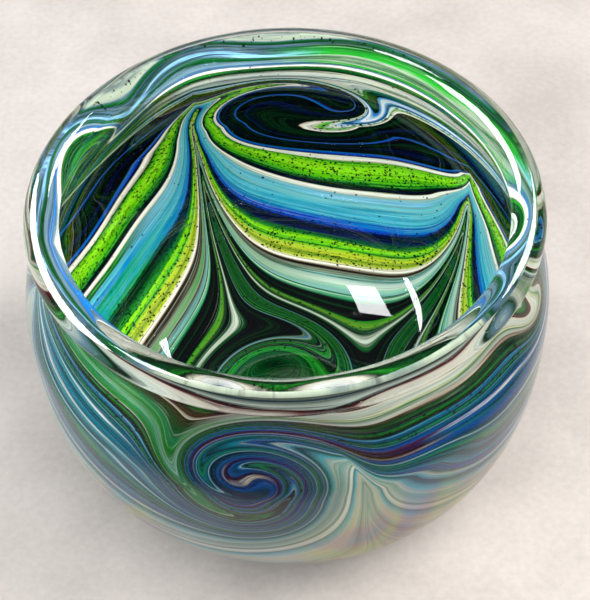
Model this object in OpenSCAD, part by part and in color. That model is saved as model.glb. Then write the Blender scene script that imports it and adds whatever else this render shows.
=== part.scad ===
// Blown art glass bowl, built up the way it is made in the hot shop: a clear inner gather, coloured
// glass canes wound round it from the floor to the neck, a clear overlay over them, a lustre film on
// the outside, a rounded lip, and the ground button where the pontil iron was broken off.
// The origin is the centre of the flat base, +Z is up, and every size is in millimetres.

/* [Bowl] */
// Greatest radius of the bowl, at its belly
body_r = 75; // [65:1:85]
// Height of the whole bowl
bowl_h = 105; // [100:1:112]
// Height of the widest ring above the base
belly_z = 65; // [60:1:68]
// How square the lower half is: 2 is an ellipse, and more is a fuller heel
heel_power = 2.7; // [2.2:0.1:3.2]
// Height that the upper half would have if it closed over the top
shoulder_h = 64; // [58:1:72]
// How far below the base the belly's curve would reach, which sets the width of the flat base
base_cut = 3; // [2:0.5:5]

/* [Glass layers] */
// Thickness of the lustre film
lustre_t = 0.15; // [0.15:0.05:0.3]
// Thickness of the clear overlay at the belly
overlay_t = 2.05; // [1.6:0.05:2.6]
// Thickness of the coloured layer
colour_t = 1.2; // [0.8:0.1:1.6]
// Thickness of the clear inner gather at the belly
lining_t = 1.8; // [1.4:0.1:2.4]
// Height of the coloured layer's underside over the base, at the middle of the floor
colour_floor_z = 4; // [4:0.5:6]
// Thickness of the clear inner gather at the middle of the floor
lining_floor_t = 3.8; // [3:0.1:6]

/* [Lip] */
// Radius of the rounded bead that ends the wall
lip_bead_r = 4.8; // [4.4:0.1:5.2]
// Latitude to which the last coloured wrap runs up inside the lip
colour_top_lat = 34; // [33:0.5:35]

/* [Pontil] */
// Radius of the button of glass that the pontil iron left
pontil_r = 16; // [12:1:20]
// Height to which the button runs up into the base
pontil_h = 2.8; // [2:0.2:3]
// Depth of the dish ground into its underside
pontil_dish = 1.4; // [1:0.1:1.6]

/* [Hidden] */
// The wraps of coloured cane from the floor to the lip: name, colour, and the latitude where each begins.
// A latitude is seen from the belly's middle: -90 is the middle of the floor, and 0 is the belly.
// Above the neck it only counts how far a face has run up its collar.
WRAPS = [
    ["floor_eye_forest", "darkgreen", -90],
    ["wrap_01_leaf", "forestgreen", -82],
    ["wrap_02_sky", "lightsteelblue", -79],
    ["wrap_03_black", "black", -77.5],
    ["wrap_04_smoke", "gray", -72.5],
    ["wrap_05_olive", "olivedrab", -69.5],
    ["wrap_06_black", "black", -66],
    ["wrap_07_emerald", "seagreen", -62.5],
    ["wrap_08_pale_aqua", "powderblue", -61],
    ["wrap_09_brown", "saddlebrown", -54.5],
    ["wrap_10_ivory", "ivory", -53],
    ["wrap_11_yellow", "yellowgreen", -52],
    ["wrap_12_lime", "limegreen", -47],
    ["wrap_13_navy", "midnightblue", -44],
    ["wrap_14_aqua", "mediumturquoise", -37.5],
    ["wrap_15_ivory", "ivory", -25],
    ["wrap_16_black", "black", -23],
    ["wrap_17_lime", "limegreen", -21.5],
    ["wrap_18_ivory", "ivory", -13],
    ["wrap_19_cobalt", "mediumblue", -11],
    ["wrap_20_black", "black", -9],
    ["wrap_21_cobalt", "mediumblue", -2],
    ["wrap_22_black", "black", -0.5],
    ["wrap_23_ivory", "ivory", 11.3],
    ["wrap_24_lime", "limegreen", 12],
    ["wrap_25_sky", "lightsteelblue", 13.5],
    ["wrap_26_forest", "darkgreen", 16.2],
    ["wrap_27_ivory", "ivory", 18.2],
    ["wrap_28_forest", "darkgreen", 25.5],
    ["wrap_29_ivory", "ivory", 27.6],
    ["wrap_30_sky", "lightsteelblue", 29.2],
    ["wrap_31_forest", "darkgreen", 33.2],
];
// The last wraps run up inside the lip, which begins where the first of them does.
LIP_WRAPS = 4;
neck_lat = WRAPS[len(WRAPS) - LIP_WRAPS][2];

$fn = 180;
// Longest stretch of latitude between two points of an outline
outline_step = 3;
// Longest stretch of an arc between two points, in degrees
arc_step = 8;

// Each face between two layers is [radius at the belly, height at the middle of the floor].
outside = [body_r, -base_cut];
overlay_face = [body_r - lustre_t, -base_cut];
colour_outer = [overlay_face[0] - overlay_t, colour_floor_z];
colour_inner = [colour_outer[0] - colour_t, colour_floor_z + colour_t];
inside = [colour_inner[0] - lining_t, colour_inner[1] + lining_floor_t];

// The middle of the bead, which stands over the outer face of the wall, so the lip rolls outwards
lip_middle = [wall_point(overlay_face, neck_lat)[0] - 1.25, bowl_h - lip_bead_r];
// The rounded hollow between the wall and the bead's underside
hollow_r = 1.6;
// Direction of the hollow's middle from the bead's, in degrees below level
hollow_dir = 73;
hollow_middle = lip_middle + (lip_bead_r + hollow_r) * [cos(hollow_dir), -sin(hollow_dir)];
// How far the coloured faces go straight on above the neck before they curl out into the bead
collar_rise = 4;
// Where the middle of the coloured layer ends, from the bead's middle, and the way its thickness lies there
collar_end = [1, 2.2];
collar_across = [0.84, -0.54];
film_start_lat = -66;

// The latitudes of every outline's points, the same on each face, so that neighbouring layers meet.
function wrap_end(index) = index < len(WRAPS) - 1 ? WRAPS[index + 1][2] : colour_top_lat;
all_lats = [
    for (i = [0:len(WRAPS) - 1])
        let (from = WRAPS[i][2], steps = ceil((wrap_end(i) - from) / outline_step))
        for (k = [0:steps - 1]) from + (wrap_end(i) - from) * k / steps
];

// A point [radius, height] of a face of the wall. Below the belly it is a superellipse, and above it an ellipse.
function wall_point(face, lat) =
    lat < 0
    ? [face[0] * pow(cos(lat), 2 / heel_power),
       belly_z - (belly_z - face[1]) * pow(-sin(lat), 2 / heel_power)]
    : [face[0] * cos(lat), belly_z + shoulder_h * sin(lat)];

// A point of a coloured face above the neck, where it leaves the wall's curve and curls out into the bead
function collar_point(face, lat) =
    let (
        t = (lat - neck_lat) / (colour_top_lat - neck_lat),
        start = wall_point(face, neck_lat),
        along = [-face[0] * sin(neck_lat), shoulder_h * cos(neck_lat)],
        corner = start + collar_rise * along / norm(along),
        from_middle = face[0] - (colour_outer[0] + colour_inner[0]) / 2
    )
    (1 - t) * (1 - t) * start + 2 * t * (1 - t) * corner
        + t * t * (lip_middle + collar_end + from_middle * collar_across);

function outline_point(face, lat) = lat > neck_lat ? collar_point(face, lat) : wall_point(face, lat);

// The points of a face between two latitudes, both ends included.
function outline(face, from, to) =
    let (between = [for (lat = all_lats) if (lat > from && lat < to) lat])
    [for (lat = concat([from], between, [to])) outline_point(face, lat)];

function reversed(points) = [for (i = [len(points) - 1:-1:0]) points[i]];

// The glass between two faces, from one latitude to another.
module layer_section(outer_face, inner_face, from, to) {
    polygon(concat(outline(outer_face, from, to), reversed(outline(inner_face, from, to))));
}

module spun() {
    rotate_extrude() children();
}

module inner_gather() {
    color("azure", 0.4) spun() layer_section(colour_inner, inside, -90, neck_lat);
}

// One turn of coloured cane, as it is laid on the inner gather.
module wrap(index) {
    color(WRAPS[index][1]) spun()
        layer_section(colour_outer, colour_inner, WRAPS[index][2], wrap_end(index));
}

// The upper side of the pontil button, where it is fused into the overlay's base.
module pontil_section() {
    rise = [for (i = [0:6]) [pontil_r * cos(i * 15), pontil_h * sin(i * 15)]];
    polygon(concat([[0, 0]], rise));
}

module clear_overlay() {
    color("azure", 0.4) spun() difference() {
        layer_section(overlay_face, colour_outer, -90, neck_lat);
        translate([0, -base_cut - 1]) square([body_r, base_cut + 1]);
        pontil_section();
    }
}

module lustre_film() {
    color("lavender", 0.5) spun() layer_section(outside, overlay_face, film_start_lat, neck_lat);
}

// The button of glass off the pontil iron, with a shallow dish ground into its underside.
module pontil_button() {
    dish_r = (pontil_r * pontil_r + pontil_dish * pontil_dish) / (2 * pontil_dish);
    color("azure", 0.4) spun() difference() {
        pontil_section();
        translate([0, pontil_dish - dish_r]) circle(r = dish_r, $fn = 360);
    }
}

// Points round an arc, at about equal steps, both ends included.
function arc(middle, r, from, to) =
    let (steps = ceil(abs(to - from) / arc_step - 0.01))
    [for (i = [0:steps]) let (a = from + (to - from) * i / steps) middle + r * [cos(a), sin(a)]];

// The inner side of the lip: a curve from the wall's end up to the innermost point of the bead.
function lip_inner_side() =
    let (
        start = wall_point(inside, neck_lat),
        end = lip_middle - [lip_bead_r, 0],
        corner = [end[0] + 0.2, (start[1] + end[1]) / 2]
    )
    [for (t = [0:0.2:0.8]) (1 - t) * (1 - t) * start + 2 * t * (1 - t) * corner + t * t * end];

// The lip: the wall's last stretch, drawn up into a rounded bead with the last coloured wraps inside it.
module lip_bead() {
    color("azure", 0.4) spun() difference() {
        polygon(concat(
            lip_inner_side(),
            arc(lip_middle, lip_bead_r, 180, -hollow_dir),
            arc(hollow_middle, hollow_r, 180 - hollow_dir + arc_step, 176),
            [wall_point(overlay_face, neck_lat)]
        ));
        layer_section(colour_outer, colour_inner, neck_lat, colour_top_lat);
    }
}

inner_gather();
clear_overlay();
lustre_film();
lip_bead();
pontil_button();
for (index = [0:len(WRAPS) - 1])
    wrap(index);
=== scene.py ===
import math

import bpy
import numpy as np
from mathutils import Matrix, Vector


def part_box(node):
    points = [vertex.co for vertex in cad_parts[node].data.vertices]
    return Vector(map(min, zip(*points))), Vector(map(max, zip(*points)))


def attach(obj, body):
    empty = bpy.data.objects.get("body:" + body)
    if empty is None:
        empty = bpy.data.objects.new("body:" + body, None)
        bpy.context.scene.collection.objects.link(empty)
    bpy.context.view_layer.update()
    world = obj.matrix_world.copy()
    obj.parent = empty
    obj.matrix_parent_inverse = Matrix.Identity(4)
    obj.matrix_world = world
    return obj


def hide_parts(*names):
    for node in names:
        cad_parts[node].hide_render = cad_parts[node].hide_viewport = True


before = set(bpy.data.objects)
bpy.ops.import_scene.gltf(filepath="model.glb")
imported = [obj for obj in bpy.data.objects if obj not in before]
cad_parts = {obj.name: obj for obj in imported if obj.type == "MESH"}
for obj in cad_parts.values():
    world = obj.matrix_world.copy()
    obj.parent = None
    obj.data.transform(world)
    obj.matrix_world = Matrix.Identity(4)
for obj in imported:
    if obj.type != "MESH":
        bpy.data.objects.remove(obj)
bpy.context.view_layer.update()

# ---------------------------------------------------------------------------------------------
# The bowl's shape, in metres. Latitudes are in degrees, seen from the middle of the belly:
# -90 is the middle of the floor, 0 is the belly, and the neck is at about 25.
# ---------------------------------------------------------------------------------------------
MM = 0.001
WRAPS = [name for name in sorted(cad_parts) if name.startswith(("floor_eye", "wrap_"))]


def half_width(node):
    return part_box(node)[1][0]


BELLY_Z = 65 * MM
SHOULDER_H = 64 * MM
HEEL_POWER = 2.7
BASE_CUT = 3 * MM
LINING_T = 1.8 * MM
LINING_FLOOR_T = 3.8 * MM
LIP_BEAD_R = 4.8 * MM
HOLLOW_R = 1.6 * MM
HOLLOW_DIR = 73
COLOUR_TOP_LAT = 34
COLLAR_RISE = 4 * MM
COLLAR_END = (1.0 * MM, 2.2 * MM)
COLLAR_ACROSS = (0.84, -0.54)
FILM_START_LAT = -66

# A face between two layers is (radius at the belly, height at the middle of the floor).
OUTSIDE = (half_width("lustre_film"), -BASE_CUT)
OVERLAY_FACE = (half_width("clear_overlay"), -BASE_CUT)
COLOUR_OUTER = (max(half_width(name) for name in WRAPS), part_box("floor_eye_forest")[0][2])
COLOUR_INNER = (half_width("inner_gather"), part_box("inner_gather")[0][2])
INSIDE = (COLOUR_INNER[0] - LINING_T, COLOUR_INNER[1] + LINING_FLOOR_T)
BOWL_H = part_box("lip_bead")[1][2]
PONTIL_R = half_width("pontil_button")
PONTIL_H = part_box("pontil_button")[1][2]
PONTIL_DISH = 1.4 * MM
# How far a coloured wrap is sunk into the clear glass on each side, and the film into the overlay, so that no gap shows
SUNK = 0.06 * MM
FILM_SUNK = 0.02 * MM
# A radius below this is on the axis, and points nearer than this are the same point.
ON_AXIS = 1e-9
SAME_POINT = 1e-7


def wall_point(face, lat):
    """(radius, height) of a face at latitudes: a superellipse below the belly, and an ellipse above it."""
    lat = np.radians(lat)
    c, s = np.cos(lat), np.sin(lat)
    below = s < 0
    p = 2 / HEEL_POWER
    radius = face[0] * np.where(below, np.clip(c, 0, None) ** p, c)
    low = BELLY_Z - (BELLY_Z - face[1]) * np.abs(s) ** p
    return radius, np.where(below, low, BELLY_Z + SHOULDER_H * s)


LIP_R = half_width("lip_bead") - LIP_BEAD_R
LIP_Z = BOWL_H - LIP_BEAD_R
COLOUR_MIDDLE = (COLOUR_OUTER[0] + COLOUR_INNER[0]) / 2
# The latitude where the wall ends and the lip begins, from the top of the inner gather
NECK_LAT = math.degrees(math.asin((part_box("inner_gather")[1][2] - BELLY_Z) / SHOULDER_H))


def outline_point(face, lat):
    """(radius, height) of a face at latitudes. Above the neck it leaves the wall and curls out into the bead."""
    radius, height = wall_point(face, np.minimum(lat, NECK_LAT))
    t = np.clip((np.asarray(lat, dtype=float) - NECK_LAT) / (COLOUR_TOP_LAT - NECK_LAT), 0, 1)
    neck = math.radians(NECK_LAT)
    along = np.array([-face[0] * math.sin(neck), SHOULDER_H * math.cos(neck)])
    along *= COLLAR_RISE / np.linalg.norm(along)
    from_middle = face[0] - COLOUR_MIDDLE
    end_r = LIP_R + COLLAR_END[0] + from_middle * COLLAR_ACROSS[0]
    end_z = LIP_Z + COLLAR_END[1] + from_middle * COLLAR_ACROSS[1]
    one, two, three = (1 - t) ** 2, 2 * t * (1 - t), t * t
    return (one * radius + two * (radius + along[0]) + three * end_r,
            one * height + two * (height + along[1]) + three * end_z)


def start_lat(node):
    """The latitude where a wrap begins, from the height of its lower edge."""
    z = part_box(node)[0][2]
    lats = np.linspace(-90, COLOUR_TOP_LAT, 12401)
    lower = np.minimum(outline_point(COLOUR_OUTER, lats)[1], outline_point(COLOUR_INNER, lats)[1])
    return float(np.interp(z, lower, lats))


START_LATS = {name: start_lat(name) for name in WRAPS}
WRAPS.sort(key=START_LATS.get)

# ---------------------------------------------------------------------------------------------
# The swirls. The wraps are laid as level rings, then a needle is drawn up through the hot glass in
# four places, and four spots of it, and one on the floor, are grabbed and turned.
# ---------------------------------------------------------------------------------------------
# (longitude and latitude of the start, of the end, carry in degrees, width in degrees)
RAKES = [
    (-47, -82, 113, 6, 60, 3.2),
    (-125, -82, 36, -9, 60, 3.2),
    (-165, -78, -168, 13, 52, 3.2),
    (-20, -70, -76, -3, 50, 5),
]
# (longitude, latitude, turn in degrees, size in degrees, how far it is drawn out sideways, power of its fall-off),
# the last one made first
TWIRLS = [
    (86, 6.5, 200, 10.5, 2.0, 3.5),
    (152, 21, 200, 9, 1.6, 2),
    (-99, 7, 420, 11, 1.15, 2),
    (-15, 20, 150, 10, 1, 2),
    (90, -84, 170, 12, 1, 2),
]
RAKE_RISE = 75
RAKE_TAPER = 9
RAKE_REACH = 40


def direction(lon, lat):
    lon, lat = np.radians(lon), np.radians(lat)
    return np.stack([np.cos(lat) * np.cos(lon), np.cos(lat) * np.sin(lon), np.sin(lat)], -1)


def turned(v, axis, degrees):
    """Directions turned about an axis, each by its own angle."""
    a = np.radians(degrees)[..., None]
    along = (v @ axis)[..., None] * axis
    return v * np.cos(a) + np.cross(axis, v) * np.sin(a) + along * (1 - np.cos(a))


def untwirled(v, lon, lat, turn, size, stretch, power):
    axis, east = direction(lon, lat), direction(lon + 90, 0)
    north = np.cross(axis, east)
    near = np.stack([v @ east / stretch, v @ north, v @ axis], -1)
    near /= np.linalg.norm(near, axis=-1, keepdims=True)
    away = np.degrees(np.arccos(np.clip(near[:, 2], -1, 1)))
    near = turned(near, np.array([0.0, 0.0, 1.0]), -turn * np.exp(-(away / size) ** power))
    v = near[:, :1] * stretch * east + near[:, 1:2] * north + near[:, 2:] * axis
    return v / np.linalg.norm(v, axis=-1, keepdims=True)


def unraked(v, lon0, lat0, lon1, lat1, carry, width):
    start, end = direction(lon0, lat0), direction(lon1, lat1)
    axis = np.cross(start, end)
    length = math.degrees(math.atan2(np.linalg.norm(axis), start @ end))
    axis /= np.linalg.norm(axis)
    aside = np.degrees(np.arcsin(np.clip(v @ axis, -1, 1)))
    along = np.degrees(np.arctan2(v @ np.cross(axis, start), v @ start))
    rise = np.clip(along / RAKE_RISE, 0, 1)
    rise = rise * rise * (3 - 2 * rise)
    fall = np.exp(-(np.clip(along - length, 0, None) / RAKE_TAPER) ** 2)
    near = width / (np.abs(aside) + width) * np.exp(-(aside / RAKE_REACH) ** 4)
    return turned(v, axis, -carry * near * rise * fall)


def laid_from(v):
    """Where the glass at each direction was when the wraps were laid, and its latitude then."""
    for twirl in TWIRLS:
        v = untwirled(v, *twirl)
    for rake in reversed(RAKES):
        v = unraked(v, *rake)
    x, y, z = v[:, 0], v[:, 1], v[:, 2]
    # No ring is laid quite level.
    uneven = 0.9 * np.sin(4.1 * x + 1.3) + 0.8 * np.sin(5.3 * y - 0.7)
    uneven += 0.5 * np.sin(9.7 * x + 7.9 * y + 3.1 * z)
    return v, np.degrees(np.arcsin(np.clip(z, -1, 1))) + uneven


# ---------------------------------------------------------------------------------------------
# Meshes
# ---------------------------------------------------------------------------------------------
def new_object(name, vertices, faces, materials, face_slots=None):
    faces = faces.tolist() if isinstance(faces, np.ndarray) else faces
    mesh = bpy.data.meshes.new(name)
    mesh.from_pydata(np.asarray(vertices).tolist(), [], [tuple(face) for face in faces])
    piece = bpy.data.objects.new(name, mesh)
    bpy.context.scene.collection.objects.link(piece)
    for material in materials:
        mesh.materials.append(material)
    if face_slots is not None:
        mesh.polygons.foreach_set("material_index", np.asarray(face_slots, dtype=np.int32))
    mesh.polygons.foreach_set("use_smooth", np.ones(len(mesh.polygons), dtype=bool))
    return piece


def smooth_with_creases(mesh, degrees=35):
    mesh.set_sharp_from_angle(angle=math.radians(degrees))


def point_attribute(mesh, name, kind, values):
    attribute = mesh.attributes.new(name, kind, "POINT")
    key = "vector" if kind == "FLOAT_VECTOR" else "value"
    attribute.data.foreach_set(key, np.ascontiguousarray(values, dtype=np.float32).ravel())


def spun(name, outline, materials, slots, steps=360):
    """A closed body of revolution. The outline is a closed loop of (radius, height), anticlockwise; slots holds
    each edge's material. Points on the axis become one vertex."""
    outline = np.asarray(outline, dtype=float)
    count = len(outline)
    turn = np.arange(steps) * 2 * math.pi / steps
    vertices, index = [], np.zeros((count, steps), dtype=int)
    total = 0
    for i, (r, z) in enumerate(outline):
        if r < ON_AXIS:
            vertices.append(np.array([[0, 0, z]]))
            index[i] = total
            total += 1
        else:
            vertices.append(np.stack([r * np.cos(turn), r * np.sin(turn), np.full(steps, z)], -1))
            index[i] = total + np.arange(steps)
            total += steps
    faces, face_slots = [], []
    for i in range(count):
        a, b = index[i], index[(i + 1) % count]
        if outline[i][0] < ON_AXIS and outline[(i + 1) % count][0] < ON_AXIS:
            continue
        a2, b2 = np.roll(a, -1), np.roll(b, -1)
        for k in range(steps):
            ring = [a[k], a2[k], b2[k], b[k]]
            faces.append(tuple(dict.fromkeys(int(v) for v in ring)))
            face_slots.append(slots[i])
    piece = new_object(name, np.concatenate(vertices), faces, materials, face_slots)
    smooth_with_creases(piece.data)
    return piece


def arc(middle, r, start, end, step=4):
    angles = np.radians(np.linspace(start, end, max(2, math.ceil(abs(end - start) / step) + 1)))
    return [(middle[0] + r * math.cos(a), middle[1] + r * math.sin(a)) for a in angles]


def face_line(face, start, end, step=1.0):
    lats = np.linspace(start, end, max(2, math.ceil(abs(end - start) / step) + 1))
    return list(zip(*outline_point(face, lats)))


def moved(face, distance):
    """A face moved outwards by a distance."""
    return (face[0] + distance, face[1] - distance)


# ---------------------------------------------------------------------------------------------
# Node materials
# ---------------------------------------------------------------------------------------------
def srgb(r, g, b):
    return tuple(c / 255 / 12.92 if c <= 10 else ((c / 255 + 0.055) / 1.055) ** 2.4 for c in (r, g, b)) + (1.0,)


HUES = {
    "abyss": srgb(2, 4, 6),
    "black": srgb(4, 7, 10),
    "forest": srgb(4, 46, 18),
    "bottle": srgb(8, 78, 30),
    "leaf": srgb(30, 138, 34),
    "olive": srgb(92, 134, 26),
    "lime": srgb(92, 190, 10),
    "bright_lime": srgb(146, 218, 24),
    "yellow": srgb(190, 200, 44),
    "emerald": srgb(14, 140, 82),
    "mint": srgb(132, 190, 164),
    "aqua": srgb(84, 184, 200),
    "turquoise": srgb(20, 144, 176),
    "sky": srgb(128, 184, 220),
    "azure": srgb(10, 106, 184),
    "cobalt": srgb(8, 60, 190),
    "navy": srgb(4, 14, 74),
    "pale_aqua": srgb(120, 174, 172),
    "smoke": srgb(136, 146, 130),
    "brown": srgb(46, 28, 16),
    "tan": srgb(176, 156, 134),
    "cream": srgb(214, 208, 176),
    "ivory": srgb(228, 220, 202),
    "white": srgb(246, 244, 240),
    "milk": srgb(196, 208, 196),
    "teal": srgb(0, 112, 128),
    "deep_teal": srgb(0, 58, 70),
    "ocean": srgb(0, 88, 172),
    # The two blue-greys below are used only in the lip's wraps. They are partly the glass's own colour and partly a
    # painted reflection of the pale room above.
    "lead": srgb(96, 124, 140),
    "dusk": srgb(60, 84, 104),
    "plum": srgb(74, 22, 70),
    "maroon": srgb(92, 22, 32),
}

# How each colour of cane looks from the inside: the hues across the wrap, each after its place in hundredths.
# A wrap may have its own look.
INNER_LOOKS = {
    "forest": "0 black, 25 forest, 50 bottle, 65 forest, 85 leaf, 100 black",
    "leaf": "0 forest, 40 leaf, 55 black, 70 olive, 100 forest",
    "sky": "0 forest, 15 azure, 40 sky, 60 white, 80 sky, 100 azure",
    "black": "0 black, 30 abyss, 40 navy, 48 abyss, 70 black, 80 forest, 86 black, 100 abyss",
    "smoke": "0 forest, 25 smoke, 50 milk, 60 bottle, 75 smoke, 100 black",
    "olive": "0 black, 25 olive, 45 bottle, 65 leaf, 100 black",
    "emerald": "0 black, 40 emerald, 80 mint, 100 ivory",
    "pale_aqua": (
        "0 emerald, 10 bottle, 18 pale_aqua, 40 mint, 55 milk, 80 pale_aqua, 88 bottle, 94 smoke, 100 brown"),
    "brown": "0 smoke, 30 brown, 70 black, 100 tan",
    "ivory": "0 tan, 25 ivory, 60 white, 85 ivory, 100 brown",
    "yellow": "0 ivory, 15 yellow, 40 olive, 70 yellow, 100 lime",
    "lime": "0 forest, 10 leaf, 30 lime, 70 bright_lime, 88 lime, 100 bottle",
    "navy": "0 leaf, 18 bottle, 35 navy, 60 black, 80 navy, 92 cobalt, 100 azure",
    "aqua": (
        "0 cobalt, 10 azure, 22 turquoise, 34 aqua, 45 turquoise, 58 aqua, 70 pale_aqua, 80 aqua, 92 sky, "
        "100 pale_aqua"),
    "cobalt": "0 black, 30 navy, 50 cobalt, 70 azure, 100 black",
    "wrap_01_leaf": "0 black, 30 forest, 45 leaf, 60 black, 75 bottle, 100 black",
    "wrap_04_smoke": "0 black, 30 bottle, 45 smoke, 60 milk, 70 smoke, 85 bottle, 100 black",
    "wrap_03_black": "0 black, 35 abyss, 50 forest, 65 abyss, 100 black",
    "wrap_05_olive": "0 black, 20 bottle, 40 olive, 60 leaf, 72 black, 100 abyss",
    "wrap_06_black": "0 black, 40 abyss, 50 forest, 60 abyss, 100 black",
    "wrap_02_sky": "0 forest, 25 bottle, 45 smoke, 55 azure, 70 bottle, 100 forest",
    "wrap_27_ivory": "0 bottle, 8 milk, 30 ivory, 40 forest, 46 milk, 60 ivory, 75 white, 90 ivory, 100 bottle",
    # In the lip's wraps the blue-greys are partly glass colour and partly a painted reflection of the room above.
    "wrap_29_ivory": "0 forest, 30 ivory, 55 white, 75 lead, 100 dusk",
    "wrap_30_sky": (
        "0 azure, 8 dusk, 25 lead, 40 forest, 50 bottle, 60 dusk, 68 sky, 75 dusk, 90 forest, 100 dusk"),
    "wrap_31_forest": "0 dusk, 25 forest, 60 bottle, 80 dusk, 100 smoke",
    "wrap_24_lime": "0 ivory, 25 lime, 50 leaf, 70 white, 100 sky",
}
# The same from the outside, where the paler glass under the colours shows
OUTER_LOOKS = {
    "forest": "0 milk, 50 pale_aqua, 100 milk",
    "leaf": "0 milk, 100 pale_aqua",
    "sky": "0 milk, 100 pale_aqua",
    "black": "0 milk, 60 smoke, 100 milk",
    "smoke": "0 milk, 100 smoke",
    "olive": "0 milk, 100 pale_aqua",
    "emerald": "0 milk, 100 pale_aqua",
    "pale_aqua": "0 milk, 100 pale_aqua",
    "brown": "0 milk, 100 smoke",
    "ivory": "0 milk, 100 white",
    "yellow": "0 milk, 100 pale_aqua",
    "lime": "0 milk, 100 pale_aqua",
    "navy": "0 milk, 100 smoke",
    "aqua": "0 pale_aqua, 25 milk, 45 cream, 65 milk, 85 aqua, 100 teal",
    "wrap_16_black": "0 milk, 50 smoke, 100 pale_aqua",
    "wrap_17_lime": "0 milk, 35 pale_aqua, 50 milk, 70 aqua, 85 teal, 100 deep_teal",
    "wrap_18_ivory": "0 teal, 40 aqua, 60 milk, 100 teal",
    "wrap_19_cobalt": "0 deep_teal, 50 ocean, 100 deep_teal",
    "wrap_20_black": (
        "0 turquoise, 15 teal, 35 deep_teal, 50 teal, 60 deep_teal, 75 emerald, 88 teal, 100 deep_teal"),
    "wrap_21_cobalt": "0 teal, 30 aqua, 45 white, 55 teal, 80 deep_teal, 100 teal",
    "wrap_22_black": (
        "0 deep_teal, 12 ocean, 28 teal, 38 deep_teal, 47 navy, 50 aqua, 53 deep_teal, 64 ocean, 72 navy, "
        "77 plum, 81 maroon, 85 black, 93 ocean, 100 deep_teal"),
    "wrap_23_ivory": "0 ocean, 40 turquoise, 50 cream, 60 teal, 100 deep_teal",
    "wrap_24_lime": "0 deep_teal, 50 emerald, 100 deep_teal",
    "wrap_25_sky": "0 navy, 30 teal, 50 ocean, 62 aqua, 70 deep_teal, 100 black",
    "wrap_26_forest": "0 black, 30 bottle, 50 leaf, 70 bottle, 85 deep_teal, 100 brown",
    "wrap_27_ivory": (
        "0 black, 15 bottle, 30 brown, 38 tan, 46 milk, 54 smoke, 60 leaf, 68 cream, 80 milk, 100 ivory"),
    "wrap_28_forest": "0 ivory, 12 maroon, 35 brown, 60 forest, 100 leaf",
    # In the lip's wraps the blue-greys are partly glass colour and partly a painted reflection of the room above.
    "wrap_29_ivory": "0 bottle, 30 milk, 70 lead, 100 bottle",
    "wrap_30_sky": "0 forest, 12 lead, 25 milk, 35 dusk, 55 lead, 75 azure, 85 lead, 100 dusk",
    "wrap_31_forest": "0 dusk, 40 forest, 70 dusk, 100 smoke",
}
# Stretches of a wrap where other glass shows: (longitude where it was laid, reach in degrees, side, look)
PATCHES = {
    "wrap_08_pale_aqua": [
        (178, 38, "inner",
         "0 bottle, 20 pale_aqua, 32 brown, 42 smoke, 58 leaf, 72 smoke, 85 brown, 100 black"),
    ],
    "wrap_13_navy": [
        (178, 38, "inner", "0 leaf, 30 bottle, 60 black, 85 bottle, 100 emerald"),
    ],
    "wrap_14_aqua": [
        (178, 38, "inner",
         "0 emerald, 20 turquoise, 35 emerald, 50 turquoise, 65 azure, 75 aqua, 86 bottle, 92 black, "
         "100 leaf"),
    ],
    "wrap_22_black": [
        (-165, 42, "outer",
         "0 deep_teal, 12 teal, 25 aqua, 29 white, 34 teal, 48 turquoise, 58 deep_teal, 68 teal, 80 aqua, "
         "84 white, 88 teal, 100 bottle"),
        (-28, 32, "outer",
         "0 deep_teal, 20 ocean, 40 teal, 48 deep_teal, 56 ocean, 66 teal, 71 white, 75 ocean, "
         "88 deep_teal, 100 teal"),
        (-72, 15, "outer",
         "0 deep_teal, 15 ocean, 25 plum, 32 milk, 38 maroon, 50 black, 60 plum, 70 navy, 80 maroon, "
         "90 ocean, 100 navy"),
        (-99, 9, "outer",
         "0 navy, 30 deep_teal, 50 ocean, 60 navy, 64 tan, 67 ivory, 73 white, 76 tan, 80 navy, "
         "100 deep_teal"),
    ],
    "wrap_21_cobalt": [
        (-165, 42, "outer", "0 teal, 30 aqua, 45 white, 55 aqua, 80 teal, 100 deep_teal"),
    ],
    "wrap_27_ivory": [
        (-122, 28, "outer", "0 milk, 5 leaf, 30 emerald, 40 mint, 50 leaf, 68 emerald, 80 bottle, 100 brown"),
        (156, 30, "inner", "0 lime, 15 bottle, 40 forest, 60 leaf, 80 forest, 100 bottle"),
        (-18, 22, "inner", "0 bottle, 20 milk, 30 forest, 55 leaf, 80 forest, 100 milk"),
    ],
    "wrap_25_sky": [
        (156, 26, "inner", "0 lime, 30 leaf, 70 bottle, 100 forest"),
    ],
    "wrap_30_sky": [
        (-95, 70, "outer", "0 forest, 15 milk, 35 ivory, 45 maroon, 55 black, 65 milk, 85 smoke, 100 dusk"),
        (45, 34, "inner", "0 forest, 15 leaf, 25 smoke, 40 bottle, 60 smoke, 70 leaf, 100 forest"),
        (20, 40, "outer", "0 forest, 30 smoke, 45 leaf, 60 bottle, 80 smoke, 100 bottle"),
    ],
}


def stops(look):
    """A look's stops: (place across the wrap from 0 to 1, colour)."""
    pairs = (stop.split() for stop in look.split(", "))
    return [(int(place) / 100, HUES[hue]) for place, hue in pairs]


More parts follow.
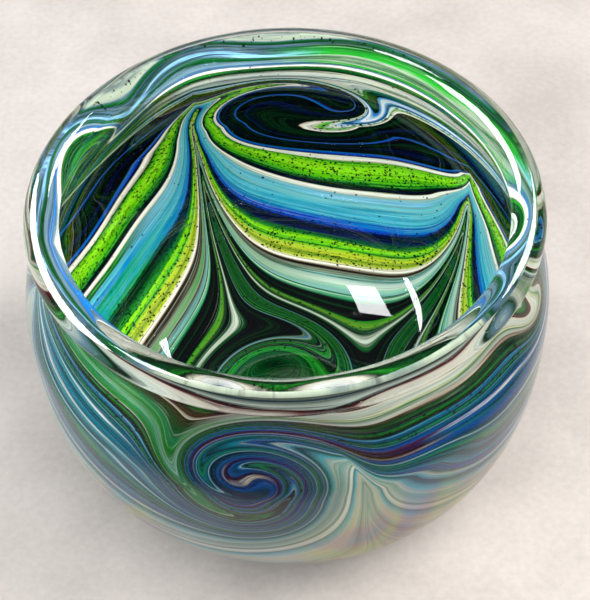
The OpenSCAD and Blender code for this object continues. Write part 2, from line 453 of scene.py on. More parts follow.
class Tree:
    """A node tree, filled by short calls."""

    def __init__(self, tree):
        self.nodes, self.links = tree.nodes, tree.links

    def add(self, kind, **settings):
        node = self.nodes.new(kind)
        inputs = settings.pop("inputs", {})
        for key, value in settings.items():
            setattr(node, key, value)
        for key, value in inputs.items():
            if isinstance(value, bpy.types.NodeSocket):
                self.links.new(value, node.inputs[key])
            else:
                node.inputs[key].default_value = value
        return node

    def math(self, operation, a, b=0.0, clamp=False):
        return self.add("ShaderNodeMath", operation=operation, use_clamp=clamp, inputs={0: a, 1: b}).outputs[0]

    def ramp(self, factor, stops, interpolation="LINEAR"):
        node = self.add("ShaderNodeValToRGB", inputs={"Fac": factor})
        node.color_ramp.interpolation = interpolation
        elements = node.color_ramp.elements
        while len(elements) < len(stops):
            elements.new(0.5)
        for element, (place, colour) in zip(elements, stops):
            element.position = place
        for element, (place, colour) in zip(elements, stops):
            element.color = colour
        return node.outputs["Color"]

    def mix(self, factor, a, b, blend="MIX"):
        node = self.add("ShaderNodeMix", data_type="RGBA", blend_type=blend)
        for socket, value in ((node.inputs[0], factor), (node.inputs[6], a), (node.inputs[7], b)):
            if isinstance(value, bpy.types.NodeSocket):
                self.links.new(value, socket)
            else:
                socket.default_value = value
        return node.outputs[2]


def new_material(name):
    material = bpy.data.materials.new(name)
    material.use_nodes = True
    material.node_tree.nodes.clear()
    return material, Tree(material.node_tree)


def new_group(name, inputs, outputs):
    """A shader node group. inputs are (name, kind, default), and outputs are (name, kind)."""
    group = bpy.data.node_groups.new(name, "ShaderNodeTree")
    for label, kind, default in inputs:
        socket = group.interface.new_socket(label, in_out="INPUT", socket_type=kind)
        socket.default_value = default
    for label, kind in outputs:
        group.interface.new_socket(label, in_out="OUTPUT", socket_type=kind)
    tree = Tree(group)
    return group, tree, tree.add("NodeGroupInput").outputs, tree.add("NodeGroupOutput").inputs


def drawn_streaks_group():
    """Long fine streaks that follow the glass as it was drawn: the noise is read where the cane was laid."""
    group, tree, given, result = new_group(
        "drawn_streaks",
        [("Fineness", "NodeSocketFloat", 1.0), ("Length", "NodeSocketFloat", 2.0),
         ("Seed", "NodeSocketFloat", 0.0)],
        [("Streak", "NodeSocketFloat"), ("Pale Line", "NodeSocketFloat"), ("Dark Line", "NodeSocketFloat"),
         ("Latitude", "NodeSocketFloat")],
    )
    source = tree.add("ShaderNodeAttribute", attribute_name="source").outputs["Vector"]
    laid = tree.add("ShaderNodeAttribute", attribute_name="laid_at").outputs["Fac"]
    place = tree.add("ShaderNodeSeparateXYZ", inputs={0: source}).outputs
    across = tree.math("MULTIPLY", laid, given["Fineness"])
    x = tree.math("MULTIPLY", place[0], given["Length"])
    y = tree.math("ADD", tree.math("MULTIPLY", place[1], given["Length"]), given["Seed"])
    vector = tree.add("ShaderNodeCombineXYZ", inputs={0: x, 1: y, 2: across}).outputs[0]
    broad = tree.add("ShaderNodeTexNoise", inputs={"Vector": vector, "Scale": 1.0, "Detail": 4.0, "Roughness": 0.6})
    finer = tree.add("ShaderNodeVectorMath", operation="MULTIPLY", inputs={0: vector, 1: (1.3, 1.3, 4.0)}).outputs[0]
    fine = tree.add("ShaderNodeTexNoise", inputs={"Vector": finer, "Scale": 1.0, "Detail": 2.0})
    pale = tree.add("ShaderNodeMapRange", inputs={0: fine.outputs["Fac"], 1: 0.6, 2: 0.7}).outputs[0]
    dark = tree.add("ShaderNodeMapRange", inputs={0: fine.outputs["Fac"], 1: 0.4, 2: 0.32}).outputs[0]
    tree.links.new(broad.outputs["Fac"], result["Streak"])
    tree.links.new(pale, result["Pale Line"])
    tree.links.new(dark, result["Dark Line"])
    tree.links.new(laid, result["Latitude"])
    return group


def glass_skin_group():
    """The slight waviness and the faint tint of hand-blown glass."""
    group, tree, given, result = new_group(
        "blown_glass_skin",
        [("Wave Size", "NodeSocketFloat", 40.0), ("Tint", "NodeSocketColor", (0.9, 0.97, 0.95, 1))],
        [("Colour", "NodeSocketColor"), ("Height", "NodeSocketFloat")],
    )
    place = tree.add("ShaderNodeTexCoord").outputs["Object"]
    wave = tree.add("ShaderNodeTexNoise", inputs={"Vector": place, "Scale": given["Wave Size"], "Detail": 1.0})
    seed = tree.add("ShaderNodeTexNoise", inputs={"Vector": place, "Scale": 900.0, "Detail": 0.0})
    dots = tree.add("ShaderNodeMapRange", inputs={0: seed.outputs["Fac"], 1: 0.74, 2: 0.8}).outputs[0]
    height = tree.math("ADD", wave.outputs["Fac"], tree.math("MULTIPLY", dots, 0.03))
    clearer = tree.mix(wave.outputs["Fac"], given["Tint"], (1, 1, 1, 1))
    tree.links.new(clearer, result["Colour"])
    tree.links.new(height, result["Height"])
    return group


def stretch_group():
    """A mask over the stretch of a wrap that was laid near one direction, with an uneven edge."""
    group, tree, given, result = new_group(
        "laid_stretch",
        [("Direction", "NodeSocketVector", (1, 0, 0)), ("Far", "NodeSocketFloat", 0.9),
         ("Near", "NodeSocketFloat", 0.95)],
        [("Mask", "NodeSocketFloat")],
    )
    source = tree.add("ShaderNodeAttribute", attribute_name="source").outputs["Vector"]
    facing = tree.add("ShaderNodeVectorMath", operation="DOT_PRODUCT", inputs={0: source, 1: given["Direction"]})
    torn = tree.add("ShaderNodeTexNoise", inputs={"Vector": source, "Scale": 14.0, "Detail": 2.0}).outputs["Fac"]
    torn = tree.math("MULTIPLY", tree.math("SUBTRACT", torn, 0.5), 0.03)
    mask = tree.add("ShaderNodeMapRange", inputs={
        0: tree.math("ADD", facing.outputs["Value"], torn), 1: given["Far"], 2: given["Near"]}).outputs[0]
    tree.links.new(mask, result["Mask"])
    return group


STREAKS = drawn_streaks_group()
STRETCH = stretch_group()
GLASS_SKIN = glass_skin_group()


# How much the colours are deepened on the outside, how much more they are round the great swirl, and where that is:
# its longitude and latitude, and its reach in degrees
OUTER_DEPTH = 0.48
DEEPER = 0.18
DEEP_SPOT = (-95, 5)
DEEP_REACH = 21
# The drawn streaks: how many lie across a degree, how often they change along the glass, how far apart the wraps'
# patterns are, and how far they shift the hues across a wrap on each side
STREAK_FINENESS = 1.6
STREAK_LENGTH = 2.2
STREAK_SEED_STEP = 3.7
STREAK_SHIFT = {"inner": 0.8, "outer": 0.4}
# How plainly the pale lines show in each colour, and in the others, and how plainly the dark ones do
PALE_LINES = {"black": 0.015, "forest": 0.08, "lime": 0.1, "navy": 0.08, "aqua": 0.4, "cobalt": 0.3}
OTHER_PALE_LINES = 0.25
DARK_LINES = 0.5


def cane_material(node, index):
    """Coloured glass cane: its colours across the wrap on each side, deepened outside, and its drawn streaks."""
    colour = node.split("_", 2)[2]
    looks = {"inner": INNER_LOOKS.get(node, INNER_LOOKS.get(colour)),
             "outer": OUTER_LOOKS.get(node, OUTER_LOOKS.get(colour))}
    start = START_LATS[node]
    end = START_LATS[WRAPS[index + 1]] if index + 1 < len(WRAPS) else COLOUR_TOP_LAT
    material, tree = new_material("cane_" + node)
    streaks = tree.add("ShaderNodeGroup", node_tree=STREAKS)
    streaks.inputs["Fineness"].default_value = STREAK_FINENESS
    streaks.inputs["Length"].default_value = STREAK_LENGTH
    streaks.inputs["Seed"].default_value = index * STREAK_SEED_STEP
    streak = streaks.outputs["Streak"]
    across = tree.add("ShaderNodeMapRange", inputs={0: streaks.outputs["Latitude"], 1: start, 2: end}).outputs[0]
    shift = tree.math("SUBTRACT", streak, 0.5)
    place = {side: tree.math("ADD", across, tree.math("MULTIPLY", shift, most), clamp=True)
             for side, most in STREAK_SHIFT.items()}
    shown = {side: tree.ramp(place[side], stops(look)) for side, look in looks.items()}
    for lon, reach, side, look in PATCHES.get(node, []):
        stretch = tree.add("ShaderNodeGroup", node_tree=STRETCH)
        stretch.inputs["Direction"].default_value = direction(lon, start).tolist()
        stretch.inputs["Far"].default_value = math.cos(math.radians(reach * 1.25))
        stretch.inputs["Near"].default_value = math.cos(math.radians(reach * 0.8))
        shown[side] = tree.mix(stretch.outputs["Mask"], shown[side], tree.ramp(place[side], stops(look)))
    outward = tree.add("ShaderNodeAttribute", attribute_name="outward").outputs["Fac"]
    front = tree.add("ShaderNodeGroup", node_tree=STRETCH)
    front.inputs["Direction"].default_value = direction(*DEEP_SPOT).tolist()
    front.inputs["Far"].default_value = math.cos(math.radians(DEEP_REACH * 1.6))
    front.inputs["Near"].default_value = math.cos(math.radians(DEEP_REACH))
    depth = tree.math("ADD", tree.math("MULTIPLY", front.outputs["Mask"], DEEPER), OUTER_DEPTH)
    shaded = tree.mix(depth, shown["outer"], (0, 0, 0, 1))
    base = tree.mix(outward, shown["inner"], shaded)
    darker = tree.add("ShaderNodeMapRange", inputs={0: streak, 1: 0.35, 2: 0.65, 3: 0.8, 4: 1.35}).outputs[0]
    base = tree.mix(0.7, base, darker, "MULTIPLY")
    pale = tree.math("MULTIPLY", streaks.outputs["Pale Line"], PALE_LINES.get(colour, OTHER_PALE_LINES))
    base = tree.mix(pale, base, HUES["milk"])
    base = tree.mix(tree.math("MULTIPLY", streaks.outputs["Dark Line"], DARK_LINES), base, HUES["abyss"])
    shader = tree.add("ShaderNodeBsdfPrincipled", inputs={
        "Base Color": base, "Roughness": 0.4, "Specular IOR Level": 0.0})
    output = tree.add("ShaderNodeOutputMaterial")
    tree.links.new(shader.outputs[0], output.inputs["Surface"])
    return material


def clear_glass_material(name, tint, wave_size, bump):
    material, tree = new_material(name)
    skin = tree.add("ShaderNodeGroup", node_tree=GLASS_SKIN)
    skin.inputs["Wave Size"].default_value = wave_size
    skin.inputs["Tint"].default_value = tint
    normal = tree.add("ShaderNodeBump", inputs={
        "Height": skin.outputs["Height"], "Strength": bump, "Distance": 1 * MM})
    glass = tree.add("ShaderNodeBsdfPrincipled", inputs={
        "Base Color": skin.outputs["Colour"], "Roughness": 0.0, "IOR": 1.5, "Transmission Weight": 1.0,
        "Normal": normal.outputs[0]})
    clear = tree.add("ShaderNodeBsdfTransparent", inputs={"Color": (0.985, 0.995, 0.99, 1)})
    lamp = tree.add("ShaderNodeLightPath").outputs["Is Shadow Ray"]
    both = tree.add("ShaderNodeMixShader", inputs={0: lamp, 1: glass.outputs[0], 2: clear.outputs[0]})
    output = tree.add("ShaderNodeOutputMaterial")
    tree.links.new(both.outputs[0], output.inputs["Surface"])
    return material


def fused_material():
    """Where two bodies of clear glass have melted into one, nothing shows."""
    material, tree = new_material("fused_face")
    shader = tree.add("ShaderNodeBsdfPrincipled", inputs={"Alpha": 0.0, "Roughness": 0.0})
    output = tree.add("ShaderNodeOutputMaterial")
    tree.links.new(shader.outputs[0], output.inputs["Surface"])
    return material


def lustre_material():
    """The iridescent film: pearly patches of gold, pink and blue on a mostly clear skin, more of them low down."""
    material, tree = new_material("lustre_film")
    place = tree.add("ShaderNodeTexCoord").outputs["Object"]
    patch = tree.add("ShaderNodeTexNoise", inputs={"Vector": place, "Scale": 28.0, "Detail": 2.0, "Distortion": 0.8})
    hue = tree.ramp(patch.outputs["Fac"], [
        (0.30, srgb(90, 150, 210)), (0.40, srgb(190, 120, 170)), (0.50, srgb(216, 206, 96)),
        (0.58, srgb(206, 216, 110)), (0.66, srgb(220, 140, 160)), (0.74, srgb(120, 190, 190))])
    cover = tree.add("ShaderNodeTexNoise", inputs={"Vector": place, "Scale": 18.0, "Detail": 1.0})
    amount = tree.add("ShaderNodeMapRange", inputs={
        0: cover.outputs["Fac"], 1: 0.5, 2: 0.68, 3: 0.0, 4: 0.22}).outputs[0]
    height = tree.add("ShaderNodeSeparateXYZ", inputs={0: place}).outputs[2]
    lower = tree.add("ShaderNodeMapRange", inputs={0: height, 1: 0.06, 2: 0.035, 3: 0.2, 4: 1.0}).outputs[0]
    amount = tree.math("MULTIPLY", amount, lower)
    rim = tree.add("ShaderNodeLayerWeight", inputs={"Blend": 0.35}).outputs["Facing"]
    amount = tree.math("ADD", amount, tree.math("MULTIPLY", rim, 0.04), clamp=True)
    pearl = tree.add("ShaderNodeBsdfPrincipled", inputs={"Base Color": hue, "Metallic": 0.6, "Roughness": 0.22})
    clear = tree.add("ShaderNodeBsdfTransparent")
    both = tree.add("ShaderNodeMixShader", inputs={0: amount, 1: clear.outputs[0], 2: pearl.outputs[0]})
    output = tree.add("ShaderNodeOutputMaterial")
    tree.links.new(both.outputs[0], output.inputs["Surface"])
    return material


def frit_material():
    material, tree = new_material("black_frit")
    place = tree.add("ShaderNodeTexCoord").outputs["Object"]
    grain = tree.add("ShaderNodeTexNoise", inputs={"Vector": place, "Scale": 700.0})
    colour = tree.ramp(grain.outputs["Fac"], [(0.35, HUES["abyss"]), (0.7, HUES["forest"])])
    shader = tree.add("ShaderNodeBsdfPrincipled", inputs={
        "Base Color": colour, "Roughness": 0.5, "Specular IOR Level": 0.0})
    output = tree.add("ShaderNodeOutputMaterial")
    tree.links.new(shader.outputs[0], output.inputs["Surface"])
    return material


# ---------------------------------------------------------------------------------------------
# The coloured wraps
# ---------------------------------------------------------------------------------------------
LON_STEPS = 720
LAT_STEP = 0.6


def colour_sheet():
    """A sheet of triangles over the whole colour layer, as directions on a unit ball."""
    rows = round((COLOUR_TOP_LAT + 90) / LAT_STEP)
    lats = -90 + np.arange(1, rows + 1) * (COLOUR_TOP_LAT + 90) / rows
    lons = np.arange(LON_STEPS) * 360 / LON_STEPS
    lon, lat = np.meshgrid(lons, lats)
    ball = np.concatenate([direction(lon, lat).reshape(-1, 3), [[0, 0, -1]]])
    i, j = np.meshgrid(np.arange(rows - 1), np.arange(LON_STEPS), indexing="ij")
    a, b = i * LON_STEPS + j, i * LON_STEPS + (j + 1) % LON_STEPS
    c, d = b + LON_STEPS, a + LON_STEPS
    one_way = (i + j) % 2 == 0
    first = np.where(one_way[..., None], np.stack([a, b, c], -1), np.stack([a, b, d], -1))
    second = np.where(one_way[..., None], np.stack([a, c, d], -1), np.stack([b, c, d], -1))
    k = np.arange(LON_STEPS)
    pole = np.stack([np.full(LON_STEPS, len(ball) - 1), (k + 1) % LON_STEPS, k], -1)
    return ball, np.concatenate([first.reshape(-1, 3), second.reshape(-1, 3), pole])


def cut_at(level, values, rows, triangles):
    """Cuts the triangles along the line where values is level. rows holds everything else about each point."""
    above = values > level
    count = above[triangles].sum(1)
    crossed = (count == 1) | (count == 2)
    kept, split = triangles[~crossed], triangles[crossed]
    if not len(split):
        return values, rows, triangles
    flags = above[split]
    lone = np.where(count[crossed] == 1, flags.argmax(1), (~flags).argmax(1))
    n = np.arange(len(split))
    v0, v1, v2 = split[n, lone], split[n, (lone + 1) % 3], split[n, (lone + 2) % 3]
    ends = np.concatenate([np.stack([v0, v1], -1), np.stack([v0, v2], -1)])
    ends.sort(1)
    edges, where = np.unique(ends, axis=0, return_inverse=True)
    where = where.ravel() + len(values)
    low, high = edges[:, 0], edges[:, 1]
    t = (level - values[low]) / (values[high] - values[low])
    new_rows = rows[low] + (rows[high] - rows[low]) * t[:, None]
    p01, p02 = where[:len(split)], where[len(split):]
    parts = [kept, np.stack([v0, p01, p02], -1), np.stack([p01, v1, v2], -1), np.stack([p01, v2, p02], -1)]
    return (np.concatenate([values, np.full(len(edges), level)]), np.concatenate([rows, new_rows]),
            np.concatenate(parts))


def on_face(face, ball):
    """Points of a face in the given directions."""
    ball = ball / np.linalg.norm(ball, axis=1, keepdims=True)
    lat = np.degrees(np.arcsin(np.clip(ball[:, 2], -1, 1)))
    radius, height = outline_point(face, lat)
    level = np.hypot(ball[:, 0], ball[:, 1])
    level = np.where(level < ON_AXIS, 1, level)
    return np.stack([ball[:, 0] / level * radius, ball[:, 1] / level * radius, height], -1)


def ribbon(name, triangles, values, rows, material):
    """One wrap as a closed slab between the two faces of the colour layer."""
    used, compact = np.unique(triangles, return_inverse=True)
    triangles = compact.reshape(-1, 3)
    count = len(used)
    ball = rows[used, :3]
    vertices = np.concatenate([on_face(moved(COLOUR_OUTER, SUNK), ball), on_face(moved(COLOUR_INNER, -SUNK), ball)])
    sides = np.concatenate([triangles[:, [0, 1]], triangles[:, [1, 2]], triangles[:, [2, 0]]])
    keys = np.sort(sides, 1)
    _, first, times = np.unique(keys, axis=0, return_index=True, return_counts=True)
    rim = sides[first[times == 1]]
    walls = np.concatenate([
        np.stack([rim[:, 1], rim[:, 0], rim[:, 0] + count], -1),
        np.stack([rim[:, 1], rim[:, 0] + count, rim[:, 1] + count], -1)])
    faces = np.concatenate([triangles, triangles[:, ::-1] + count, walls])
    piece = new_object(name, vertices, faces, [material])
    mesh = piece.data
    point_attribute(mesh, "source", "FLOAT_VECTOR", np.tile(rows[used, 3:6], (2, 1)))
    point_attribute(mesh, "laid_at", "FLOAT", np.tile(values[used], 2))
    point_attribute(mesh, "outward", "FLOAT", np.repeat([1.0, 0.0], count))
    smooth_with_creases(mesh)
    return piece


def make_wraps():
    ball, triangles = colour_sheet()
    source, values = laid_from(ball)
    rows = np.concatenate([ball, source], 1)
    levels = [START_LATS[name] for name in WRAPS[1:]]
    for level in levels:
        values, rows, triangles = cut_at(level, values, rows, triangles)
    band = np.searchsorted(levels, values[triangles].mean(1))
    made = {}
    for index, name in enumerate(WRAPS):
        own = triangles[band == index]
        made[name] = (ribbon("swirled_" + name, own, values, rows, cane_material(name, index)), own)
    return made, values, rows


# ---------------------------------------------------------------------------------------------
# Clear glass, lustre, pontil
# ---------------------------------------------------------------------------------------------
def joined(*stretches):
    """A closed outline and its edges' slots, from (points, slot) stretches. A stretch's slot is that of the edges
    from its points onwards."""
    outline, slots = [], []
    for points, slot in stretches:
        for i, point in enumerate(points):
            if outline and math.dist(outline[-1], point) < SAME_POINT:
                slots[-1] = slot
                continue
            outline.append(point)
            slots.append(slot)
    if math.dist(outline[0], outline[-1]) < SAME_POINT:
        outline.pop()
        slots.pop()
    return outline, slots


def make_inner_gather(glass, fused):
    outer = face_line(COLOUR_INNER, -90, NECK_LAT)
    outline, slots = joined((outer, 1), (face_line(INSIDE, NECK_LAT, -90), 0))
    slots[len(outer) - 1] = 1
    return spun("inner_gather_glass", outline, [glass, fused], slots)


def make_lip(glass, fused):
    middle = (LIP_R, LIP_Z)
    reach = LIP_BEAD_R + HOLLOW_R
    below_level = math.radians(HOLLOW_DIR)
    hollow = (LIP_R + reach * math.cos(below_level), LIP_Z - reach * math.sin(below_level))
    start = np.array([float(v) for v in wall_point(INSIDE, NECK_LAT)])
    end = np.array([LIP_R - LIP_BEAD_R, LIP_Z])
    corner = np.array([end[0] + 0.2 * MM, (start[1] + end[1]) / 2])
    inner_side = [tuple((1 - t) ** 2 * start + 2 * t * (1 - t) * corner + t * t * end)
                  for t in np.linspace(0, 1, 13)]
    outline, slots = joined(
        ([tuple(float(v) for v in wall_point(OVERLAY_FACE, NECK_LAT))], 0),
        (arc(hollow, HOLLOW_R, 176, 180 - HOLLOW_DIR, 6), 0),
        (arc(middle, LIP_BEAD_R, -HOLLOW_DIR, 180, 4), 0),
        (inner_side[::-1], 0),
        ([inner_side[0]], 1),
        (face_line(COLOUR_INNER, NECK_LAT, COLOUR_TOP_LAT, 0.7), 1),
        (face_line(COLOUR_OUTER, COLOUR_TOP_LAT, NECK_LAT, 0.7), 1),
    )
    return spun("lip_bead_glass", outline, [glass, fused], slots)


def pontil_rise():
    """The upper side of the pontil button, from its rim to the axis."""
    rim_to_top = [(PONTIL_R * math.cos(a), PONTIL_H * math.sin(a)) for a in np.radians(np.arange(0, 90, 5))]
    return rim_to_top + [(0.0, PONTIL_H)]


def make_overlay(glass, fused):
    base_drop = (BELLY_Z / (BELLY_Z - OVERLAY_FACE[1])) ** (HEEL_POWER / 2)
    base_lat = -math.degrees(math.asin(base_drop))
    outline, slots = joined(
        (pontil_rise()[::-1], 1),
        ([(PONTIL_R, 0.0)], 0),
        (face_line(OVERLAY_FACE, base_lat, NECK_LAT), 0),
        ([tuple(float(v) for v in outline_point(OVERLAY_FACE, NECK_LAT))], 1),
        (face_line(COLOUR_OUTER, NECK_LAT, -90), 1),
    )
    return spun("clear_overlay_glass", outline, [glass, fused], slots)


def make_pontil_button(ground, fused):
    dish_r = (PONTIL_R ** 2 + PONTIL_DISH ** 2) / (2 * PONTIL_DISH)
    half = math.degrees(math.asin(PONTIL_R / dish_r))
    dish = arc((0, PONTIL_DISH - dish_r), dish_r, 90, 90 - half, 0.6)
    dish[0] = (0.0, PONTIL_DISH)
    outline, slots = joined((dish, 0), (pontil_rise(), 1))
    return spun("pontil_button_glass", outline, [ground, fused], slots)


def make_lustre_film(lustre):
    inner = moved(OVERLAY_FACE, -FILM_SUNK)
    outline, slots = joined(
        (face_line(OUTSIDE, FILM_START_LAT, NECK_LAT), 0),
        (face_line(inner, NECK_LAT, FILM_START_LAT), 0),
    )
    return spun("lustre_skin", outline, [lustre], slots)


# ---------------------------------------------------------------------------------------------
# Crushed black glass on the wraps, scattered by geometry nodes
# ---------------------------------------------------------------------------------------------
FRIT_INSIDE = {"lime": 1.0, "yellow": 0.8, "navy": 1.0, "olive": 0.3, "leaf": 0.3, "forest": 0.25, "black": 0.08,
               "aqua": 0.03, "ivory": 0.03}
FRIT_OUTSIDE = {"wrap_24_lime": 0.7, "wrap_25_sky": 0.3, "wrap_26_forest": 0.5}


def frit_tree(material):
    tree = bpy.data.node_groups.new("frit_scatter", "GeometryNodeTree")
    for label, kind, default in (
            ("Geometry", "NodeSocketGeometry", None), ("Specks per Square Metre", "NodeSocketFloat", 1000000.0),
            ("Smallest", "NodeSocketFloat", 0.00016), ("Largest", "NodeSocketFloat", 0.00042),
            ("Seed", "NodeSocketInt", 7)):
        socket = tree.interface.new_socket(label, in_out="INPUT", socket_type=kind)
        if default is not None:
            socket.default_value = default
    tree.interface.new_socket("Geometry", in_out="OUTPUT", socket_type="NodeSocketGeometry")
    t = Tree(tree)
    given = t.add("NodeGroupInput").outputs
    cover = t.add("GeometryNodeInputNamedAttribute", data_type="FLOAT", inputs={"Name": "frit_cover"}).outputs[0]
    density = t.math("MULTIPLY", cover, given["Specks per Square Metre"])
    points = t.add("GeometryNodeDistributePointsOnFaces", distribute_method="RANDOM", inputs={
        "Mesh": given["Geometry"], "Density": density, "Seed": given["Seed"]})
    speck = t.add("GeometryNodeMeshCube", inputs={"Size": (1.7, 1.4, 1.0)})
    chance = t.add("FunctionNodeRandomValue", data_type="FLOAT", inputs={"Min": 0.0, "Max": 1.0, "Seed": 3})
    size = t.add("ShaderNodeMapRange", inputs={
        0: t.math("POWER", chance.outputs[1], 2.0), 3: given["Smallest"], 4: given["Largest"]})
    stretch = t.add("FunctionNodeRandomValue", data_type="FLOAT_VECTOR", inputs={
        "Min": (0.7, 0.7, 0.35), "Max": (1.3, 1.3, 0.6), "Seed": 5})
    scale = t.add("ShaderNodeVectorMath", operation="SCALE", inputs={0: stretch.outputs[0]})
    t.links.new(size.outputs[0], scale.inputs["Scale"])
    placed = t.add("GeometryNodeInstanceOnPoints", inputs={
        "Points": points.outputs["Points"], "Instance": speck.outputs["Mesh"],
        "Rotation": points.outputs["Rotation"], "Scale": scale.outputs[0]})
    real = t.add("GeometryNodeRealizeInstances", inputs={"Geometry": placed.outputs[0]})
    painted = t.add("GeometryNodeSetMaterial", inputs={"Geometry": real.outputs[0], "Material": material})
    t.links.new(painted.outputs[0], t.add("NodeGroupOutput").inputs[0])
    return tree


def make_frit(wraps, rows):
    """Specks on both faces of the speckled wraps, half sunk into the clear glass."""
    material = frit_material()
    tree = frit_tree(material)
    pieces = []
    for name, face, seed, covers in (("frit_inside", moved(COLOUR_INNER, -SUNK), 7, FRIT_INSIDE),
                                     ("frit_outside", moved(COLOUR_OUTER, SUNK), 11, FRIT_OUTSIDE)):
        own, cover = [], []
        for node, (piece, triangles) in wraps.items():
            amount = covers.get(node, covers.get(node.split("_", 2)[2], 0))
            if amount:
                own.append(triangles)
                cover.append(np.full(len(triangles), amount))
        triangles = np.concatenate(own)
        used, compact = np.unique(triangles, return_inverse=True)
        bed = new_object("bed", on_face(face, rows[used, :3]), compact.reshape(-1, 3), [])
        attribute = bed.data.attributes.new("frit_cover", "FLOAT", "FACE")
        attribute.data.foreach_set("value", np.concatenate(cover).astype(np.float32))
        modifier = bed.modifiers.new("scatter", "NODES")
        modifier.node_group = tree
        for item in tree.interface.items_tree:
            if item.in_out == "INPUT" and item.name == "Seed":
                modifier[item.identifier] = seed
        depsgraph = bpy.context.evaluated_depsgraph_get()
        mesh = bpy.data.meshes.new_from_object(bed.evaluated_get(depsgraph))
        mesh.name = name
        bpy.data.objects.remove(bed)
        piece = bpy.data.objects.new(name, mesh)
        bpy.context.scene.collection.objects.link(piece)
        pieces.append(piece)
    return pieces


# ---------------------------------------------------------------------------------------------
# Floor, light and camera
# ---------------------------------------------------------------------------------------------
def make_floor():
    material, tree = new_material("pale_paper")
    place = tree.add("ShaderNodeTexCoord").outputs["Object"]
    mottle = tree.add("ShaderNodeTexNoise", inputs={"Vector": place, "Scale": 25.0, "Detail": 5.0})
    grain = tree.add("ShaderNodeTexNoise", inputs={"Vector": place, "Scale": 420.0, "Detail": 3.0})
    level = tree.math("ADD", tree.math("MULTIPLY", mottle.outputs["Fac"], 0.7),
                      tree.math("MULTIPLY", grain.outputs["Fac"], 0.3))
    colour = tree.ramp(level, [(0.35, srgb(170, 163, 158)), (0.62, srgb(190, 183, 178))])
    # Seen only in the glass's reflections, the floor from a hand's breadth in front of the bowl is painted dark: a
    # painted dark reflection on the bowl's outside.
    flat = tree.add("ShaderNodeVectorMath", operation="LENGTH", inputs={0: place}).outputs["Value"]
    ahead = tree.add("ShaderNodeSeparateXYZ", inputs={0: place}).outputs[1]
    beyond = tree.add("ShaderNodeMapRange", inputs={0: flat, 1: 0.11, 2: 0.15}).outputs[0]
    in_front = tree.add("ShaderNodeMapRange", inputs={0: ahead, 1: 0.06, 2: -0.02}).outputs[0]
    mirrored = tree.add("ShaderNodeLightPath").outputs["Is Glossy Ray"]
    # dark is the painted dark reflection: the floor's colour, darkened for glossy rays only
    dark = tree.math("MULTIPLY", tree.math("MULTIPLY", beyond, in_front), mirrored)
    colour = tree.mix(dark, colour, srgb(40, 42, 46))
    bump = tree.add("ShaderNodeBump", inputs={"Height": level, "Strength": 0.25, "Distance": 1 * MM})
    shader = tree.add("ShaderNodeBsdfPrincipled", inputs={
        "Base Color": colour, "Roughness": 0.8, "Normal": bump.outputs[0]})
    output = tree.add("ShaderNodeOutputMaterial")
    tree.links.new(shader.outputs[0], output.inputs["Surface"])
    reach = 1.5
    corners = [(-reach, -reach, 0), (reach, -reach, 0), (reach, reach, 0), (-reach, reach, 0)]
    floor = new_object("floor", corners, [(0, 1, 2, 3)], [material])


def area_light(name, place, target, width, height, power, colour=(1, 1, 1)):
    data = bpy.data.lights.new(name, "AREA")
    data.shape = "RECTANGLE"
    data.size, data.size_y = width, height
    data.energy = power
    data.color = colour
    light = bpy.data.objects.new(name, data)
    bpy.context.scene.collection.objects.link(light)
    light.location = place
    light.rotation_euler = (Vector(place) - Vector(target)).to_track_quat("Z", "Y").to_euler()
    return light


# How bright the room is as light, and how bright it is in the glass, which mostly mirrors its dark side
ROOM_LIGHT = 0.38
MIRRORED_ROOM = 0.1


def make_lights():
    world = bpy.data.worlds.new("pale_room")
    bpy.context.scene.world = world
    world.use_nodes = True
    background = world.node_tree.nodes["Background"]
    background.inputs["Color"].default_value = (0.93, 0.95, 1.0, 1)
    tree = Tree(world.node_tree)
    in_mirror = tree.add("ShaderNodeLightPath").outputs["Is Glossy Ray"]
    strength = tree.add("ShaderNodeMapRange", inputs={0: in_mirror, 3: ROOM_LIGHT, 4: MIRRORED_ROOM})
    tree.links.new(strength.outputs[0], background.inputs["Strength"])
    middle = (0, 0, 0.06)
    # What the glass mirrors and what lights the room are kept apart, so that each can be set by itself.
    for mirrored in (area_light("left_window", (-1.02, 0.42, 0.79), middle, 1.4, 0.62, 64.0, (0.96, 0.98, 1.0)),
                     area_light("skylight", (-0.50, 0.03, 1.15), middle, 0.34, 0.25, 5.0, (0.98, 0.99, 1.0)),
                     area_light("right_window", (0.72, 0.67, 0.98), middle, 0.55, 0.4, 12.0, (0.98, 0.99, 1.0))):
        mirrored.visible_diffuse = False
    for soft in (area_light("left", (-0.75, -1.15, 0.80), middle, 1.0, 0.8, 14.0, (0.96, 0.98, 1.0)),
                 area_light("key", (1.15, 0.05, 1.25), middle, 0.9, 0.9, 27.0, (1.0, 0.97, 0.94)),
                 area_light("above", (0.05, -0.50, 1.55), middle, 1.2, 0.9, 21.0, (1.0, 0.98, 0.96))):
        soft.visible_glossy = False


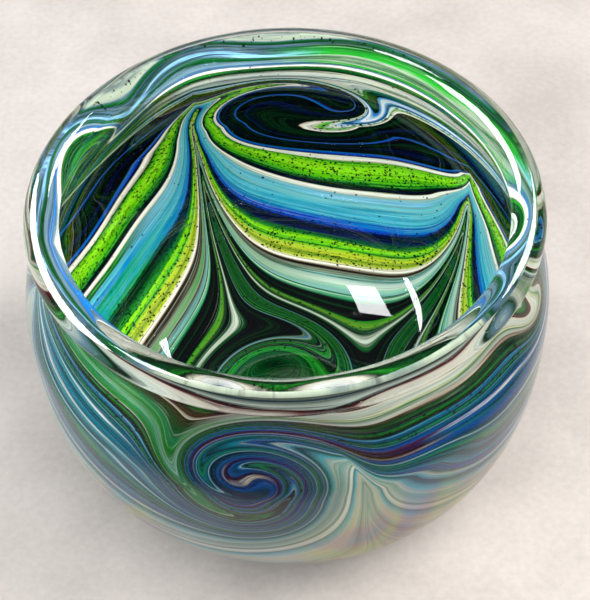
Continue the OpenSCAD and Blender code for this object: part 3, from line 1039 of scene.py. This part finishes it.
CAMERA_AWAY = 0.450
CAMERA_ELEVATION = 45.6
CAMERA_TILT = 3.75
CAMERA_YAW = 0.25
CAMERA_ROLL = -1.85
LENS = 99.6


def make_camera():
    data = bpy.data.cameras.new("camera")
    data.lens = LENS
    data.sensor_width = 36
    camera = bpy.data.objects.new("camera", data)
    bpy.context.scene.collection.objects.link(camera)
    rise = math.radians(CAMERA_ELEVATION)
    place = (0, -CAMERA_AWAY * math.cos(rise), BOWL_H + CAMERA_AWAY * math.sin(rise))
    down = math.radians(90 - CAMERA_ELEVATION - CAMERA_TILT)
    camera.matrix_world = (
        Matrix.Translation(place)
        @ Matrix.Rotation(down, 4, "X")
        @ Matrix.Rotation(-math.radians(CAMERA_YAW), 4, "Y")
        @ Matrix.Rotation(math.radians(CAMERA_ROLL), 4, "Z"))
    bpy.context.scene.camera = camera


# ---------------------------------------------------------------------------------------------
# The assembly
# ---------------------------------------------------------------------------------------------
def fit(piece, *nodes):
    """The piece rides on the bowl and stands for its CAD nodes, which are hidden."""
    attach(piece, "root")
    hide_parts(*nodes)


wraps, values, rows = make_wraps()
for node, (piece, triangles) in wraps.items():
    fit(piece, node)
for piece in make_frit(wraps, rows):
    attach(piece, "root")

CLEAR_GLASS = (0.93, 0.98, 0.96, 1)
OVERLAY_GLASS = (0.90, 0.97, 0.95, 1)
fused = fused_material()
lining_glass = clear_glass_material("lining_glass", CLEAR_GLASS, 30.0, 0.15)
fit(make_inner_gather(lining_glass, fused), "inner_gather")
overlay_glass = clear_glass_material("overlay_glass", OVERLAY_GLASS, 30.0, 0.15)
fit(make_overlay(overlay_glass, fused), "clear_overlay")
lip_glass = clear_glass_material("lip_glass", CLEAR_GLASS, 60.0, 0.2)
fit(make_lip(lip_glass, fused), "lip_bead")
ground_glass = clear_glass_material("ground_glass", CLEAR_GLASS, 300.0, 0.5)
fit(make_pontil_button(ground_glass, fused), "pontil_button")
fit(make_lustre_film(lustre_material()), "lustre_film")

make_floor()
make_lights()
make_camera()
bpy.context.scene.view_settings.view_transform = "Standard"
